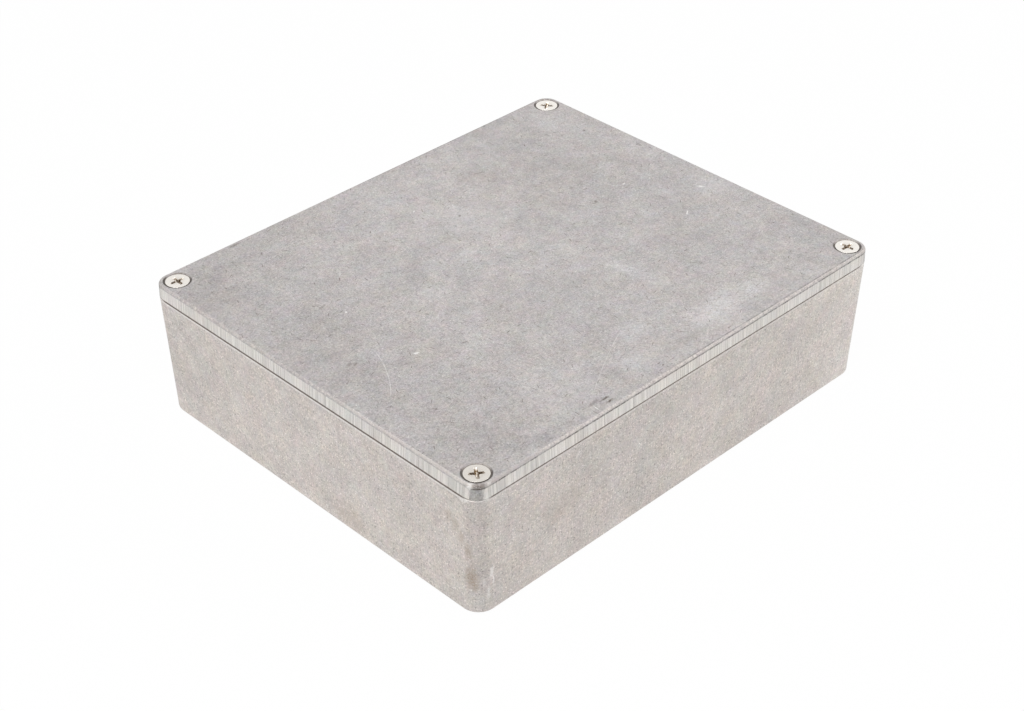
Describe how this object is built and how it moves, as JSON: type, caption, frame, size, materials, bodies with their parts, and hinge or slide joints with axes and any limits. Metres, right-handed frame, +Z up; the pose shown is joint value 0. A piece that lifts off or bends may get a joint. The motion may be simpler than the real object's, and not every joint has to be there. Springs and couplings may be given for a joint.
{
  "type": "die-cast aluminum enclosure",
  "caption": "Rectangular die-cast aluminum enclosure: a drafted tub closed by a lap-jointed lift-off lid that countersunk cross-recess screws hold at its corners.",
  "frame": {"origin": "middle of the box on the plane that the tub stands on", "axes": "+X along the length, +Y along the width towards the rear, +Z up through the lid"},
  "size_m": [0.1452, 0.121, 0.0397],
  "materials": {
    "cast_tub": "bare die-cast aluminium, tumbled: fine sandy grain with light flecks and faint stains",
    "cast_lid": "bare die-cast aluminium with flow clouds, pits and scratches; its side bands are linished upright",
    "plated_screw": "bright nickel-plated steel with a satin head and a dark cross recess"
  },
  "bodies": {
    "tub": {"tub": "cast_tub"},
    "lid": {"lid": "cast_lid"},
    "screw_front_left": {"screw_front_left": "plated_screw"},
    "screw_front_right": {"screw_front_right": "plated_screw"},
    "screw_rear_left": {"screw_rear_left": "plated_screw"},
    "screw_rear_right": {"screw_rear_right": "plated_screw"}
  },
  "joints": [
    {"name": "lid_lift", "type": "slide", "parent": "tub", "child": "lid", "axis": [0, 0, 1], "range_m": [0, 0.08]},
    {"name": "screw_front_left_out", "type": "slide", "parent": "lid", "child": "screw_front_left", "axis": [0, 0, 1], "range_m": [0, 0.014]},
    {"name": "screw_front_right_out", "type": "slide", "parent": "lid", "child": "screw_front_right", "axis": [0, 0, 1], "range_m": [0, 0.014]},
    {"name": "screw_rear_left_out", "type": "slide", "parent": "lid", "child": "screw_rear_left", "axis": [0, 0, 1], "range_m": [0, 0.014]},
    {"name": "screw_rear_right_out", "type": "slide", "parent": "lid", "child": "screw_rear_right", "axis": [0, 0, 1], "range_m": [0, 0.014]}
  ]
}
